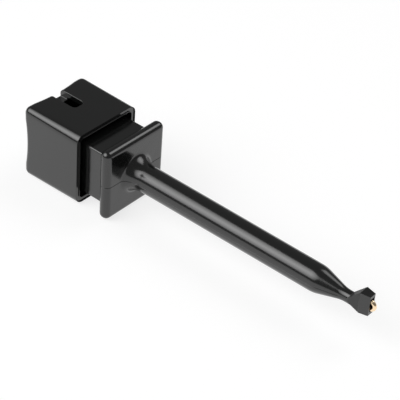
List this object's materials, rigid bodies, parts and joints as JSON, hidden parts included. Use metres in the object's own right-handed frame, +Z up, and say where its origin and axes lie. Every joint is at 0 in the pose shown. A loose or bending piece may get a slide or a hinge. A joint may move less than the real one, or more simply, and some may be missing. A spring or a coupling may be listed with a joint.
{
  "type": "grabber test hook",
  "caption": "Spring-loaded test-lead grabber: pressing the square thumb cap pushes a gold wire hook out of the head of a long thin barrel.",
  "frame": {"origin": "under the middle of the length, on the surface that the cap lies on", "axes": "+X along the barrel towards the hook, +Z up through the lead slot of the cap"},
  "size_m": [0.0572, 0.0118, 0.0116],
  "materials": {
    "thumb_cap": "glossy black moulded nylon",
    "barrel_body": "glossy black moulded nylon",
    "hook": "bright gold plate over spring copper",
    "spring": "bright stainless spring wire",
    "washer": "plain stamped stainless",
    "terminal": "turned brass, bright"
  },
  "bodies": {
    "housing": {"barrel_body": "barrel_body", "return_spring": "spring"},
    "plunger": {"thumb_cap": "thumb_cap", "hook": "hook", "solder_terminal": "terminal", "spring_washer": "washer"}
  },
  "joints": [
    {"name": "plunger_slide", "type": "slide", "parent": "housing", "child": "plunger", "axis": [1, 0, 0], "range_m": [0, 0.00395], "stiffness_N_per_m": 300, "springref_m": -0.003, "deforming": ["return_spring"]}
  ]
}
